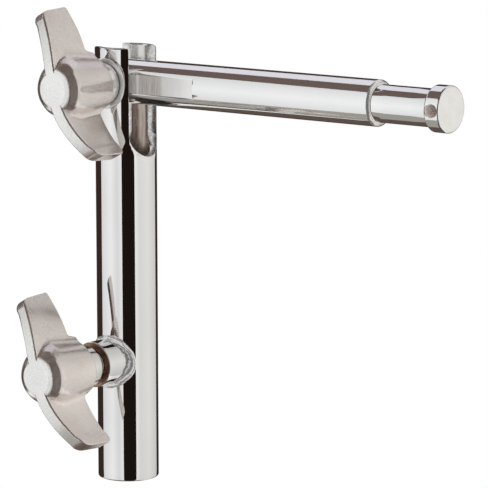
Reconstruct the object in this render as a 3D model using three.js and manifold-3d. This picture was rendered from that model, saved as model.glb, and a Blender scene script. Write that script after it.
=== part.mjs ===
import * as THREE from "three";
import { mergeVertices } from "three/addons/utils/BufferGeometryUtils.js";
import Module from "manifold-3d";

// Drop down pin: a chromed receiver tube with a hinged spigot arm in its forked top. One wing knob clamps
// the hinge, the other drives a screw through a welded boss to lock the tube on a stand's spigot.
// Millimetres. The tube stands along +Z on its open end, the arm points along +X, the knobs face -Y.

// Receiver tube
const tubeBore = 17; // takes a 16 mm spigot
const wallThickness = 2.5;
const tubeLength = 157;
const rimRound = 0.7;
const boreChamfer = 0.5;
const earHeight = 12.5; // pivot to the top rim
const slotPlay = 0.4; // each side of the arm
const slotReach = 26.5; // pivot down to the foot of the slot

// Arm: a 16 mm spigot, with a waist and an end collar for a fitting to catch behind
const spigotDiameter = 16;
const shoulderReach = 112.5; // pivot to the shoulder face
const waistDiameter = 13;
const waistLength = 22.5;
const collarLength = 6;
const shoulderChamfer = 0.8;
const collarRound = 0.8;
const tieHoleDiameter = 4.5;
const flatDepth = 0.8; // of each milled flat
const flatReach = 36.8; // pivot to the end of the milled flats

// Clamp bolt and washer of the hinge
const boltDiameter = 8;
const boltPlay = 0.3; // around the bolt, in every hole that it passes
const boltHeadDiameter = 13;
const boltHeadHeight = 3.6;
const boltHeadRim = 1.2;
const boltThreadDepth = 12.5; // how far the bolt reaches into the knob's insert
const boltPoint = 1;
const washerDiameter = 15.6;
const washerThickness = 0.8;
const washerSeatGap = 0.1; // each side of the washer
const seatGap = 0.25; // between the other pieces that rest on each other

// Lock boss, its weld and the lock screw
const lockHeight = 44;
const bossDiameter = 16.4;
const bossStand = 8.4; // tube wall to the boss face
const bossChamfer = 0.6;
const weldLeg = 2.2;
const screwDiameter = 10;
const screwPlay = 0.25;
const screwTipGap = 0.25; // bore to the screw's tip
const screwPoint = 1.2;
const lockStandOff = 3; // boss face to the knob's collar

// Cast wing knob, with a steel collar and shank cast into it
const steelCollarDiameter = 12.4;
const steelCollarLength = 4.3;
const steelEdge = 0.4;
const shankDiameter = 11;
const shankDepth = 17.5; // end of the shank from the collar's face
const knobLength = 27.5; // collar's face to the hub's front disc
const hubRootDiameter = 15.8;
const hubDiameter = 19;
const hubFaceDiameter = 11.2;
const hubShoulder = 3.5;
const wingReach = 29.3; // from the knob's axis to a wing's end
const tiltLowerWingReach = 27.2; // the upper knob's lower wing is cast shorter
const wingThickness = 5.2;
const wingLip = 0.6; // how much thicker each face is at the wing's end
const wingLipReach = 4; // from the wing's end to the middle of the lip's step
const wingLipStep = 2.4;
const wingBow = 2.2; // sideways bow that gives the pair its S shape
const wingInnerRoot = 8.1; // edge towards the tube, measured from the collar's face
const wingInnerTip = 7;
const wingOuterTip = 20;
const wingDiscReach = 5.5; // the front edge leaves the hub's disc here and sweeps back from it
const wingDiscSink = 0.05;
const wingEdgeRound = 0.8;
const wingTipRound = 2.1;
const wingTipSlant = 0.4;
const wingRootFillet = 3.2; // between the hub's side and the wing's faces
const wingInnerFillet = 1.4;
const tiltKnobTurn = -27.7;
const lockKnobTurn = -30.6;

// Faceting
const tubeSides = 96;
const rodSides = 64;
const knobSides = 56;
const cornerSteps = 3;
const faceSteps = 4;
const wingRows = 52;
const weldSteps = 56;
const weldSides = 10;
const roundSteps = 5;
const shoulderSteps = 8;
const wingSweepPower = 1.4;
const shoulderPower = 1.25; // 1 is a straight chamfer, 2 a full round
const cutOverrun = 4;

const barrelSteel = new THREE.MeshStandardMaterial({ color: 0xd9d9da, roughness: 0.08, metalness: 1 });
const armSteel = new THREE.MeshStandardMaterial({ color: 0xdadbdd, roughness: 0.1, metalness: 1 });
const bossSteel = new THREE.MeshStandardMaterial({ color: 0xd6d6d6, roughness: 0.12, metalness: 1 });
const weldSteel = new THREE.MeshStandardMaterial({ color: 0xc8c8c6, roughness: 0.2, metalness: 1 });
const boltSteel = new THREE.MeshStandardMaterial({ color: 0xb9bbbd, roughness: 0.3, metalness: 1 });
const screwSteel = new THREE.MeshStandardMaterial({ color: 0xc9cac8, roughness: 0.28, metalness: 1 });
const insertSteel = new THREE.MeshStandardMaterial({ color: 0xd4d3d0, roughness: 0.26, metalness: 1 });
const washerSteel = new THREE.MeshStandardMaterial({ color: 0xcfcfce, roughness: 0.18, metalness: 1 });
const tiltCasting = new THREE.MeshStandardMaterial({ color: 0xcbc7c3, roughness: 0.5, metalness: 0.85 });
const lockCasting = new THREE.MeshStandardMaterial({ color: 0xcac6c2, roughness: 0.52, metalness: 0.85 });

const wasm = await Module();
wasm.setup();

// A closed solid of a geometry, ready to be cut and joined.
function solidOf(geometry) {
  const bare = geometry.clone();
  bare.deleteAttribute("normal");
  bare.deleteAttribute("uv");
  const merged = mergeVertices(bare);
  const corners = merged.index.array;
  const kept = [];
  for (let i = 0; i < corners.length; i += 3) {
    const [a, b, c] = [corners[i], corners[i + 1], corners[i + 2]];
    if (a !== b && b !== c && c !== a) kept.push(a, b, c);
  }
  return new wasm.Manifold(
    new wasm.Mesh({
      numProp: 3,
      vertProperties: merged.attributes.position.array,
      triVerts: new Uint32Array(kept),
    }),
  );
}

// The mesh of a finished solid.
function meshOf(name, solid, material) {
  const data = solid.getMesh();
  const places = new Float32Array(data.numVert * 3);
  for (let i = 0; i < data.numVert; i++) {
    places.set(data.vertProperties.subarray(i * data.numProp, i * data.numProp + 3), i * 3);
  }
  const indexed = new THREE.BufferGeometry();
  indexed.setAttribute("position", new THREE.BufferAttribute(places, 3));
  indexed.setIndex(new THREE.BufferAttribute(data.triVerts, 1));
  const geometry = indexed.toNonIndexed();
  geometry.computeVertexNormals();
  const mesh = new THREE.Mesh(geometry, material);
  mesh.name = name;
  return mesh;
}

const alongX = new THREE.Matrix4().makeRotationZ(-Math.PI / 2);
const alongZ = new THREE.Matrix4().makeRotationX(Math.PI / 2);
const alongMinusY = new THREE.Matrix4().makeRotationX(Math.PI);

// A turned piece. The profile holds [radius, distance] pairs, up the outside and down the inside.
function turned(profile, sides, direction) {
  const points = profile.map(([radius, distance]) => new THREE.Vector2(radius, distance));
  const geometry = new THREE.LatheGeometry(points, sides);
  if (direction) geometry.applyMatrix4(direction);
  return solidOf(geometry);
}

// A quarter round of a turned profile, between a level point and an upright one.
function quarter(radius, distance, width, height, from, to) {
  return Array.from({ length: roundSteps + 1 }, (_, i) => {
    const angle = THREE.MathUtils.degToRad(THREE.MathUtils.lerp(from, to, i / roundSteps));
    return [radius + width * Math.cos(angle), distance + height * Math.sin(angle)];
  });
}

// A round cutter across the tube, along Y.
function crossDrill(diameter, low, high, x, z) {
  const drill = new THREE.CylinderGeometry(diameter / 2, diameter / 2, high - low, rodSides);
  return solidOf(drill.translate(x, (low + high) / 2, z));
}

const pivotHeight = tubeLength - earHeight;
const slotFloorHeight = pivotHeight - slotReach;
const tubeDiameter = tubeBore + wallThickness + wallThickness;
const tubeRadius = tubeDiameter / 2;
const boreRadius = tubeBore / 2;
const spigotRadius = spigotDiameter / 2;
const tongueThickness = spigotDiameter - flatDepth - flatDepth;
const slotRadius = tongueThickness / 2 + slotPlay;
const boltRadius = boltDiameter / 2;
const boltHoleDiameter = boltDiameter + boltPlay + boltPlay;
const screwHoleDiameter = screwDiameter + screwPlay + screwPlay;
const bossReach = tubeRadius + bossStand;
const screwTipReach = boreRadius + screwTipGap;
const washerFace = tubeRadius + washerSeatGap + washerThickness;
const tiltCollarFace = washerFace + washerSeatGap;
const lockCollarFace = bossReach + lockStandOff;

// Receiver tube: rounded rims, a slot that goes right through its top, and three side holes
const tubeWall = turned(
  [
    [boreRadius + boreChamfer, 0],
    ...quarter(tubeRadius - rimRound, rimRound, rimRound, rimRound, -90, 0),
    ...quarter(tubeRadius - rimRound, tubeLength - rimRound, rimRound, rimRound, 0, 90),
    [boreRadius + boreChamfer, tubeLength],
    [boreRadius, tubeLength - boreChamfer],
    [boreRadius, boreChamfer],
    [boreRadius + boreChamfer, 0],
  ],
  tubeSides,
  alongZ,
);
const slotCentre = slotFloorHeight + slotRadius;
const slotOutline = new THREE.Shape();
slotOutline.moveTo(-slotRadius, tubeLength + cutOverrun);
slotOutline.lineTo(-slotRadius, slotCentre);
slotOutline.absarc(0, slotCentre, slotRadius, Math.PI, Math.PI * 2, false);
slotOutline.lineTo(slotRadius, tubeLength + cutOverrun);
const slotDepth = tubeDiameter + cutOverrun + cutOverrun;
const slotBlock = new THREE.ExtrudeGeometry(slotOutline, {
  depth: slotDepth,
  bevelEnabled: false,
  curveSegments: rodSides / 2,
});
slotBlock.translate(0, 0, -slotDepth / 2);
slotBlock.applyMatrix4(
  new THREE.Matrix4().makeBasis(
    new THREE.Vector3(0, 1, 0),
    new THREE.Vector3(0, 0, 1),
    new THREE.Vector3(1, 0, 0),
  ),
);
// The far ear's hole is square, for the neck under the bolt's head
const neckHole = new THREE.BoxGeometry(boltHoleDiameter, tubeRadius + cutOverrun, boltHoleDiameter);
neckHole.translate(0, (tubeRadius + cutOverrun) / 2, pivotHeight);
const receiverTube = tubeWall
  .subtract(solidOf(slotBlock))
  .subtract(crossDrill(boltHoleDiameter, -tubeRadius - cutOverrun, 0, 0, pivotHeight))
  .subtract(solidOf(neckHole))
  .subtract(crossDrill(screwHoleDiameter, -tubeRadius - cutOverrun, 0, 0, lockHeight));

// Arm: one bar with a shoulder, a waist and a collar, flats at the hinge and a round back end
const waistReach = shoulderReach + waistLength;
const armReach = waistReach + collarLength;
const waistRadius = waistDiameter / 2;
const armBar = turned(
  [
    [0, -spigotRadius],
    [spigotRadius, -spigotRadius],
    [spigotRadius, shoulderReach - shoulderChamfer],
    [spigotRadius - shoulderChamfer, shoulderReach],
    [waistRadius, shoulderReach],
    [waistRadius, waistReach],
    [spigotRadius - collarRound, waistReach],
    ...quarter(spigotRadius - collarRound, waistReach + collarRound, collarRound, collarRound, -90, 0),
    ...quarter(spigotRadius - collarRound, armReach - collarRound, collarRound, collarRound, 0, 90),
    [0, armReach],
  ],
  rodSides,
  alongX,
);
const barBox = spigotDiameter + cutOverrun;
function flatCutter(side) {
  const block = new THREE.BoxGeometry(flatReach + barBox, barBox, barBox);
  return solidOf(block.translate((flatReach - barBox) / 2, side * (tongueThickness + barBox) / 2, 0));
}
const backBlock = new THREE.BoxGeometry(barBox, barBox, barBox);
const backCutter = solidOf(backBlock.translate(-barBox / 2, 0, 0)).subtract(
  crossDrill(spigotDiameter, -barBox, barBox, 0, 0),
);
const pinArm = armBar
  .subtract(flatCutter(1))
  .subtract(flatCutter(-1))
  .subtract(backCutter)
  .subtract(crossDrill(boltHoleDiameter, -barBox, barBox, 0, 0))
  .subtract(crossDrill(tieHoleDiameter, -barBox, barBox, waistReach + collarLength / 2, 0))
  .translate(0, 0, pivotHeight);

// Clamp bolt: a low round head on the far ear, a square neck in its hole, a plain shank and the thread
const boltHeadSeat = tubeRadius + seatGap;
const boltHeadRadius = boltHeadDiameter / 2;
const boltEnd = tiltCollarFace + boltThreadDepth;
const boltTurned = turned(
  [
    [0, -boltHeadSeat - boltHeadHeight],
    ...quarter(0, -boltHeadSeat - boltHeadRim, boltHeadRadius, boltHeadHeight - boltHeadRim, -90, 0).slice(1),
    [boltHeadRadius, -boltHeadSeat],
    [boltRadius, -boltHeadSeat],
    [boltRadius, boltEnd - boltPoint],
    [boltRadius - boltPoint, boltEnd],
    [0, boltEnd],
  ],
  rodSides,
  alongMinusY,
);
const neckLength = boltHeadSeat + boltHeadRim / 2 - boreRadius;
const boltNeck = new THREE.BoxGeometry(boltDiameter, neckLength, boltDiameter);
boltNeck.translate(0, boreRadius + neckLength / 2, 0);
const pivotBolt = boltTurned.add(solidOf(boltNeck)).translate(0, 0, pivotHeight);

// Washer between the near ear and the knob
const washerRadius = washerDiameter / 2;
const washerHole = boltRadius + boltPlay;
const tiltWasher = turned(
  [
    [washerHole, washerFace - washerThickness],
    [washerRadius, washerFace - washerThickness],
    ...quarter(washerRadius - washerThickness / 2, washerFace - washerThickness / 2,
      washerThickness / 2, washerThickness / 2, 0, 90),
    [washerHole, washerFace],
    [washerHole, washerFace - washerThickness],
  ],
  knobSides,
  alongMinusY,
).translate(0, 0, pivotHeight);

// Lock boss: a short threaded tube, saddle cut to sit on the receiver
const bossRadius = bossDiameter / 2;
const saddle = new THREE.CylinderGeometry(
  tubeRadius + seatGap, tubeRadius + seatGap, bossDiameter + cutOverrun, tubeSides,
).applyMatrix4(alongZ);
const lockBoss = turned(
  [
    [screwHoleDiameter / 2, 0],
    [bossRadius, 0],
    [bossRadius, bossReach - bossChamfer],
    [bossRadius - bossChamfer, bossReach],
    [screwHoleDiameter / 2 + bossChamfer, bossReach],
    [screwHoleDiameter / 2, bossReach - bossChamfer],
    [screwHoleDiameter / 2, 0],
  ],
  knobSides,
  alongMinusY,
)
  .subtract(solidOf(saddle))
  .translate(0, 0, lockHeight);

// Weld bead: a round rope laid in the corner between boss and tube, cut back to both
const ropeRadius = weldLeg * Math.SQRT1_2;
const beadPlaces = [];
const beadCorners = [];
for (let i = 0; i < weldSteps; i++) {
  const turn = (i / weldSteps) * Math.PI * 2;
  const outward = new THREE.Vector3(Math.cos(turn), 0, Math.sin(turn));
  const x = bossRadius * Math.cos(turn);
  const foot = Math.sqrt(tubeRadius * tubeRadius - x * x);
  const lean = new THREE.Vector3(x, -foot, 0).normalize();
  for (let k = 0; k < weldSides; k++) {
    const around = (k / weldSides) * Math.PI * 2;
    const place = new THREE.Vector3(x, -foot, bossRadius * Math.sin(turn))
      .addScaledVector(outward, ropeRadius * Math.cos(around))
      .addScaledVector(lean, ropeRadius * Math.sin(around));
    beadPlaces.push(place.x, place.y, place.z);
    const next = ((i + 1) % weldSteps) * weldSides;
    const here = i * weldSides;
    const up = (k + 1) % weldSides;
    beadCorners.push(here + k, next + k, here + up, here + up, next + k, next + up);
  }
}
const beadGeometry = new THREE.BufferGeometry();
beadGeometry.setAttribute("position", new THREE.Float32BufferAttribute(beadPlaces, 3));
beadGeometry.setIndex(beadCorners);
const bossCore = new THREE.CylinderGeometry(
  bossRadius + seatGap, bossRadius + seatGap, tubeDiameter + bossReach, knobSides,
);
const bossWeld = solidOf(beadGeometry)
  .subtract(solidOf(bossCore))
  .subtract(solidOf(saddle))
  .translate(0, 0, lockHeight);

// Steel parts cast into the knobs: a bright collar and a shank, hollow for the bolt or with the screw's stud
const collarRadius = steelCollarDiameter / 2;
const shankRadius = shankDiameter / 2;
const collarEnd = steelCollarLength - seatGap;
const insertBore = boltRadius + boltPlay;
const insertBoreEnd = boltThreadDepth + boltPoint;
const tiltInsert = turned(
  [
    [insertBore + steelEdge, 0],
    [collarRadius - steelEdge, 0],
    [collarRadius, steelEdge],
    [collarRadius, collarEnd],
    [shankRadius, collarEnd],
    [shankRadius, shankDepth],
    [0, shankDepth],
    [0, insertBoreEnd],
    [insertBore, insertBoreEnd],
    [insertBore, steelEdge],
    [insertBore + steelEdge, 0],
  ],
  knobSides,
  alongMinusY,
).translate(0, -tiltCollarFace, pivotHeight);

const studLength = lockCollarFace - screwTipReach;
const screwRadius = screwDiameter / 2;
const lockScrew = turned(
  [
    [0, -studLength],
    [screwRadius - screwPoint, -studLength],
    [screwRadius, screwPoint - studLength],
    [screwRadius, 0],
    [collarRadius - steelEdge, 0],
    [collarRadius, steelEdge],
    [collarRadius, collarEnd],
    [shankRadius, collarEnd],
    [shankRadius, shankDepth],
    [0, shankDepth],
  ],
  knobSides,
  alongMinusY,
).translate(0, -lockCollarFace, lockHeight);

// Wing knob: a tapered hub with a rounded shoulder and two bowed wings, with a socket for the steel shank
const hubRadius = hubDiameter / 2;

function filletRise(distance, fillet) {
  if (distance >= fillet) return 0;
  const away = fillet - Math.max(distance, 0);
  return fillet - Math.sqrt(fillet * fillet - away * away);
}

// The hub's outer radius at a distance from the collar's face.
function hubAt(distance) {
  const shoulder = knobLength - hubShoulder;
  const rise = THREE.MathUtils.clamp((distance - steelCollarLength) / (shoulder - steelCollarLength), 0, 1);
  if (distance <= shoulder) return THREE.MathUtils.lerp(hubRootDiameter / 2, hubRadius, rise);
  const past = Math.min((distance - shoulder) / hubShoulder, 1);
  const out = (1 - past ** shoulderPower) ** (1 / shoulderPower);
  return THREE.MathUtils.lerp(hubFaceDiameter / 2, hubRadius, out);
}

// One cross-section of the wings at a signed distance from the knob's axis; end is where that wing ends.
function wingSection(reach, end) {
  const away = Math.abs(reach);
  const run = THREE.MathUtils.clamp((away - hubRadius) / (end - hubRadius), 0, 1);
  const sweep = THREE.MathUtils.clamp((away - wingDiscReach) / (end - wingDiscReach), 0, 1);
  const lipStart = end - wingLipReach - wingLipStep / 2;
  const lip = wingLip * THREE.MathUtils.smoothstep((away - lipStart) / wingLipStep, 0, 1);
  const past = THREE.MathUtils.clamp(away - (end - wingTipRound), 0, wingTipRound);
  const inset = wingTipRound - Math.sqrt(wingTipRound * wingTipRound - past * past);
  const bare = THREE.MathUtils.lerp(wingInnerRoot, wingInnerTip, run);
  const inner = bare - filletRise(away - hubAt(bare), wingInnerFillet) + inset;
  const disc = knobLength - wingDiscSink;
  const outer = disc - (disc - wingOuterTip) * sweep ** wingSweepPower - inset;
  const middle = (inner + outer) / 2;
  const halfWidth = (outer - inner) / 2;
  const bow = wingBow * Math.sin((Math.PI * reach) / end);
  const flatThick = wingThickness / 2 + lip - inset;
  const corner = Math.min(wingEdgeRound, flatThick);
  const places = [];
  function addPlace(acrossSign, along, cornerShare) {
    const fade = THREE.MathUtils.clamp((knobLength - middle - along) / hubShoulder, 0, 1);
    const web = filletRise(away - hubAt(middle + along), wingRootFillet) * fade;
    const across = acrossSign * (flatThick + web - corner) + corner * cornerShare;
    const slant = (-wingTipSlant * along * run) / halfWidth;
    places.push([bow + across, -(middle + along), reach + Math.sign(reach) * slant]);
  }
  for (let quadrant = 0; quadrant < 4; quadrant++) {
    const acrossSign = quadrant === 0 || quadrant === 3 ? 1 : -1;
    const alongSign = quadrant < 2 ? 1 : -1;
    for (let step = 0; step <= cornerSteps; step++) {
      const angle = ((quadrant + step / cornerSteps) * Math.PI) / 2;
      addPlace(acrossSign, alongSign * (halfWidth - corner) + corner * Math.sin(angle), Math.cos(angle));
    }
    if (quadrant % 2 === 0) continue;
    for (let step = 1; step < faceSteps; step++) {
      const share = alongSign * (1 - (2 * step) / faceSteps);
      addPlace(acrossSign, share * (halfWidth - corner), acrossSign);
    }
  }
  return places;
}

function wingPair(lowerReach) {
  const ring = 4 * (cornerSteps + 1) + 2 * (faceSteps - 1);
  const places = [];
  const corners = [];
  for (let row = 0; row <= wingRows; row++) {
    const share = (2 * row) / wingRows - 1;
    const end = share < 0 ? lowerReach : wingReach;
    places.push(...wingSection(end * Math.sin((share * Math.PI) / 2), end));
  }
  for (let row = 0; row < wingRows; row++) {
    for (let k = 0; k < ring; k++) {
      const a = row * ring + k;
      const b = row * ring + ((k + 1) % ring);
      corners.push(a, a + ring, b, b, a + ring, b + ring);
    }
  }
  const last = wingRows * ring;
  for (let k = 1; k < ring - 1; k++) {
    corners.push(0, k, k + 1);
    corners.push(last, last + k + 1, last + k);
  }
  const geometry = new THREE.BufferGeometry();
  geometry.setAttribute("position", new THREE.Float32BufferAttribute(places.flat(), 3));
  geometry.setIndex(corners);
  return solidOf(geometry);
}

const hub = turned(
  [
    [0, steelCollarLength],
    [hubRootDiameter / 2, steelCollarLength],
    ...Array.from({ length: shoulderSteps + 1 }, (_, i) => {
      const distance = knobLength - hubShoulder * Math.cos(((i / shoulderSteps) * Math.PI) / 2);
      return [hubAt(distance), distance];
    }),
    [0, knobLength],
  ],
  knobSides,
  alongMinusY,
);
const socket = turned(
  [
    [0, 0],
    [shankRadius + seatGap, 0],
    [shankRadius + seatGap, shankDepth + seatGap],
    [0, shankDepth + seatGap],
  ],
  knobSides,
  alongMinusY,
);
const tiltKnob = hub
  .add(wingPair(tiltLowerWingReach))
  .subtract(socket)
  .rotate([0, tiltKnobTurn, 0])
  .translate(0, -tiltCollarFace, pivotHeight);
const lockKnob = hub
  .add(wingPair(wingReach))
  .subtract(socket)
  .rotate([0, lockKnobTurn, 0])
  .translate(0, -lockCollarFace, lockHeight);

const group = new THREE.Group();
group.name = "drop_down_pin";
group.add(
  meshOf("receiver_tube", receiverTube, barrelSteel),
  meshOf("pin_arm", pinArm, armSteel),
  meshOf("pivot_bolt", pivotBolt, boltSteel),
  meshOf("tilt_washer", tiltWasher, washerSteel),
  meshOf("tilt_insert", tiltInsert, insertSteel),
  meshOf("tilt_knob", tiltKnob, tiltCasting),
  meshOf("lock_boss", lockBoss, bossSteel),
  meshOf("boss_weld", bossWeld, weldSteel),
  meshOf("lock_screw", lockScrew, screwSteel),
  meshOf("lock_knob", lockKnob, lockCasting),
);

export default group;
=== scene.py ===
import math

import bmesh
import bpy
import numpy as np
from mathutils import Matrix, Vector, noise


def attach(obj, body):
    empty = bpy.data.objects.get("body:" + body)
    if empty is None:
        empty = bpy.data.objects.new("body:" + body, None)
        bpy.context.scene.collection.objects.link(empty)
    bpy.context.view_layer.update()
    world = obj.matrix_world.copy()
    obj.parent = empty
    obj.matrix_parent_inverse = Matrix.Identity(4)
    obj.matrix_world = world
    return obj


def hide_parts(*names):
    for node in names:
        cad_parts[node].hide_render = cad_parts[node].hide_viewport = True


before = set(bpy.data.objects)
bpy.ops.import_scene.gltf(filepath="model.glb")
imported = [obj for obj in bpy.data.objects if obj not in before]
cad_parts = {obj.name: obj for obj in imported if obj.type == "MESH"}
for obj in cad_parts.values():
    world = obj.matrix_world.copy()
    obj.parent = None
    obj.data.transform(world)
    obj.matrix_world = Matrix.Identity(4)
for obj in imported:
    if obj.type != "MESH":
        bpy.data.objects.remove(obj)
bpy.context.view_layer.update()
mm = 0.001
print("frame loaded")

scene = bpy.context.scene
scene.view_settings.view_transform = "Standard"

cameraLook = {
    "place": (0.72989, -0.85776, 0.27145),
    "back": (0.61077, -0.77479, 0.16326),
    "right": (0.78548, 0.61889, -0.00146),
    "lens": 233.57, "sensor": 36, "near": 0.01,
    "azimuth": 38.25,  # degrees from -Y towards +X
}


def addCamera(look):
    back = Vector(look["back"]).normalized()
    right = Vector(look["right"]).normalized()
    up = back.cross(right).normalized()
    data = bpy.data.cameras.new("camera")
    data.lens = look["lens"]
    data.sensor_width = look["sensor"]
    data.clip_start = look["near"]
    camera = bpy.data.objects.new("camera", data)
    turn = Matrix((right, up, back)).transposed().to_4x4()
    camera.matrix_world = Matrix.Translation(look["place"]) @ turn
    scene.collection.objects.link(camera)
    scene.camera = camera


addCamera(cameraLook)


def between(a, b, share):
    return a + (b - a) * share


def stops(table, value):  # a value read between the stops of a table
    if value <= table[0][0]:
        return table[0][1]
    for (a, x), (b, y) in zip(table, table[1:]):
        if value <= b:
            return between(x, y, (value - a) / (b - a))
    return table[-1][1]


# Node helpers
def addNode(tree, kind, inputs=None, **settings):
    node = tree.nodes.new(kind)
    for key, value in settings.items():
        setattr(node, key, value)
    for key, value in (inputs or {}).items():
        if isinstance(value, bpy.types.NodeSocket):
            tree.links.new(value, node.inputs[key])
        else:
            node.inputs[key].default_value = value
    return node


def newMaterial(name):
    material = bpy.data.materials.new(name)
    material.use_nodes = True
    tree = material.node_tree
    return material, tree, tree.nodes["Principled BSDF"]


def plainMaterial(name, makeSurface):  # for the stage: one surface and nothing else
    material, tree, _ = newMaterial(name)
    tree.nodes.clear()
    addNode(tree, "ShaderNodeOutputMaterial", {"Surface": makeSurface(tree)})
    return material


def objectPlace(tree):
    return addNode(tree, "ShaderNodeTexCoord").outputs["Object"]


def onAxis(tree, place, axis):
    return addNode(tree, "ShaderNodeSeparateXYZ", {0: place}).outputs[axis]


def maths(tree, operation, *values):
    return addNode(tree, "ShaderNodeMath", dict(enumerate(values)), operation=operation).outputs[0]


def vectorMaths(tree, operation, *values):
    node = addNode(tree, "ShaderNodeVectorMath", dict(enumerate(values)), operation=operation)
    return node.outputs["Value" if operation == "LENGTH" else "Vector"]


def grain(tree, place, scale, detail, stretch=(1, 1, 1)):
    mapped = addNode(tree, "ShaderNodeMapping", {"Vector": place, "Scale": stretch})
    inputs = {"Vector": mapped.outputs[0], "Scale": scale, "Detail": detail}
    return addNode(tree, "ShaderNodeTexNoise", inputs).outputs["Fac"]


def spread(tree, value, low, high, fromLow=0.3, fromHigh=0.7):
    inputs = {0: value, 1: fromLow, 2: fromHigh, 3: low, 4: high}
    return addNode(tree, "ShaderNodeMapRange", inputs).outputs[0]


def tones(tree, share, first, second):  # each end is a colour or another node's colour
    ends = [end if isinstance(end, bpy.types.NodeSocket) else (*end, 1) for end in (first, second)]
    inputs = {"Factor": share, 6: ends[0], 7: ends[1]}
    return addNode(tree, "ShaderNodeMix", inputs, data_type="RGBA").outputs[2]


def bump(tree, height, strength, distance, under=None):
    inputs = {"Height": height, "Strength": strength, "Distance": distance}
    if under is not None:
        inputs["Normal"] = under
    return addNode(tree, "ShaderNodeBump", inputs).outputs[0]


def dress(tree, shader, metal, tone, rough, skin):
    shader.inputs["Metallic"].default_value = metal
    for key, socket in (("Base Color", tone), ("Roughness", rough), ("Normal", skin)):
        tree.links.new(socket, shader.inputs[key])


# Painted shade: the dark brown that corners and joints take, by ambient occlusion
cornerShadeLook = {
    "tone": (0.20, 0.15, 0.125), "reach": 0.0014, "open": 0.86, "shut": 0.40, "share": 0.85, "samples": 12,
}


def withPaintedCornerShade(tree, tone):  # painted shade: colour darkened in corners and joints, where ambient occlusion finds them
    look = cornerShadeLook
    shade = addNode(tree, "ShaderNodeAmbientOcclusion", {"Distance": look["reach"]},
                    samples=look["samples"])
    share = spread(tree, shade.outputs["AO"], look["share"], 0, look["shut"], look["open"])
    return tones(tree, share, tone, look["tone"])


# Polished plate with faint smudges and pits, and the duller plate over the weld
chromeLook = {
    "tube": {"dark": (0.8, 0.8, 0.795), "light": (0.86, 0.86, 0.86), "rough": (0.025, 0.06), "metal": 1},
    "arm": {"dark": (0.875, 0.88, 0.885), "light": (0.93, 0.93, 0.93), "rough": (0.04, 0.09), "metal": 0.97},
    "boss": {"dark": (0.78, 0.78, 0.775), "light": (0.85, 0.85, 0.845), "rough": (0.06, 0.13), "metal": 1},
    "weld": {"dark": (0.84, 0.83, 0.82), "light": (0.95, 0.95, 0.945), "rough": (0.16, 0.3), "metal": 0.6},
    "smudgeSize": 28, "smudgeDetail": 6,
    "pitSize": 900, "pitDetail": 3, "pitBump": 0.25, "pitDepth": 0.000003,
}


def chromeMaterial(look, key):
    material, tree, shader = newMaterial(key + "_chrome")
    finish = look[key]
    place = objectPlace(tree)
    smudge = grain(tree, place, look["smudgeSize"], look["smudgeDetail"])
    pits = grain(tree, place, look["pitSize"], look["pitDetail"])
    dress(tree, shader, finish["metal"],
          tones(tree, spread(tree, smudge, 0, 1), finish["dark"], finish["light"]),
          spread(tree, smudge, *finish["rough"]),
          bump(tree, pits, look["pitBump"], look["pitDepth"]))
    return material


# Bare steel: the slot's sawn faces, the bore and the arm's tie hole; and the boss's faced end, whose dark
# brown is painted shade
roughLook = {
    "cut": {
        "dark": (0.58, 0.56, 0.54), "light": (0.92, 0.915, 0.905), "rough": (0.20, 0.36), "metal": 1.0,
        "speckSize": 1500, "markSize": 2600, "markDepth": 0.00002, "stretch": (0.3, 1, 0.5),
    },
    # the boss's faced end: dark brown painted shade, for the shade between the boss and the knob's collar
    "face": {
        "dark": (0.24, 0.145, 0.10), "light": (0.52, 0.335, 0.235), "rough": (0.30, 0.42), "metal": 1.0,
        "speckSize": 1200, "markSize": 1800, "markDepth": 0.000008, "stretch": (1, 1, 1),
    },
    "bore": {
        "dark": (0.40, 0.32, 0.27), "light": (0.66, 0.57, 0.52), "rough": (0.20, 0.30), "metal": 0.8,
        "speckSize": 900, "markSize": 1800, "markDepth": 0.000012, "stretch": (1, 1, 0.12),
        "plated": (0.86, 0.855, 0.845), "platedMost": 0.85, "plateLow": 0.139, "plateHigh": 0.148,
    },
    "hole": {
        "dark": (0.74, 0.67, 0.62), "light": (0.94, 0.89, 0.85), "rough": (0.40, 0.55), "metal": 0.2,
        "speckSize": 1100, "markSize": 1800, "markDepth": 0.000010, "stretch": (1, 0.2, 1),
    },
    "markDetail": 3, "speckDetail": 4, "markBump": 0.5,
}


def roughMaterial(look, key):
    material, tree, shader = newMaterial(key + "_steel")
    finish = look[key]
    place = objectPlace(tree)
    marks = grain(tree, place, finish["markSize"], look["markDetail"], finish["stretch"])
    specks = grain(tree, place, finish["speckSize"], look["speckDetail"], finish["stretch"])
    tone = tones(tree, spread(tree, specks, 0, 1), finish["dark"], finish["light"])
    if "plated" in finish:  # the plating reaches a little way into the bore
        share = spread(tree, onAxis(tree, place, 2), 0, finish["platedMost"],
                       finish["plateLow"], finish["plateHigh"])
        tone = tones(tree, share, tone, finish["plated"])
    dress(tree, shader, finish["metal"], tone, spread(tree, marks, *finish["rough"]),
          bump(tree, marks, look["markBump"], finish["markDepth"]))
    return material


# Milled flats of the arm: bright at the far end, greyer and rougher towards the fork end, with a pale line
# across them
flatLook = {
    "bright": (0.97, 0.97, 0.965), "faint": 0.92, "faintRange": (0.2, 0.6), "brightRough": 0.22,
    "forkEndDark": (0.50, 0.465, 0.44), "forkEndLight": (0.80, 0.77, 0.74), "forkEndRange": (0.32, 0.68),
    "forkEndRough": 0.36, "forkEndReach": 0.0226, "forkEndFade": 0.0006,
    "waveSize": 300, "waveDetail": 3, "waveReach": 0.0006,
    "markSize": 2600, "markDetail": 4, "markStretch": (1, 0.05, 0.06), "markBump": 0.4,
    "markDepth": 0.000006, "streak": 0.0119, "streakHalf": 0.0009, "metal": 0.25,
}


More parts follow.
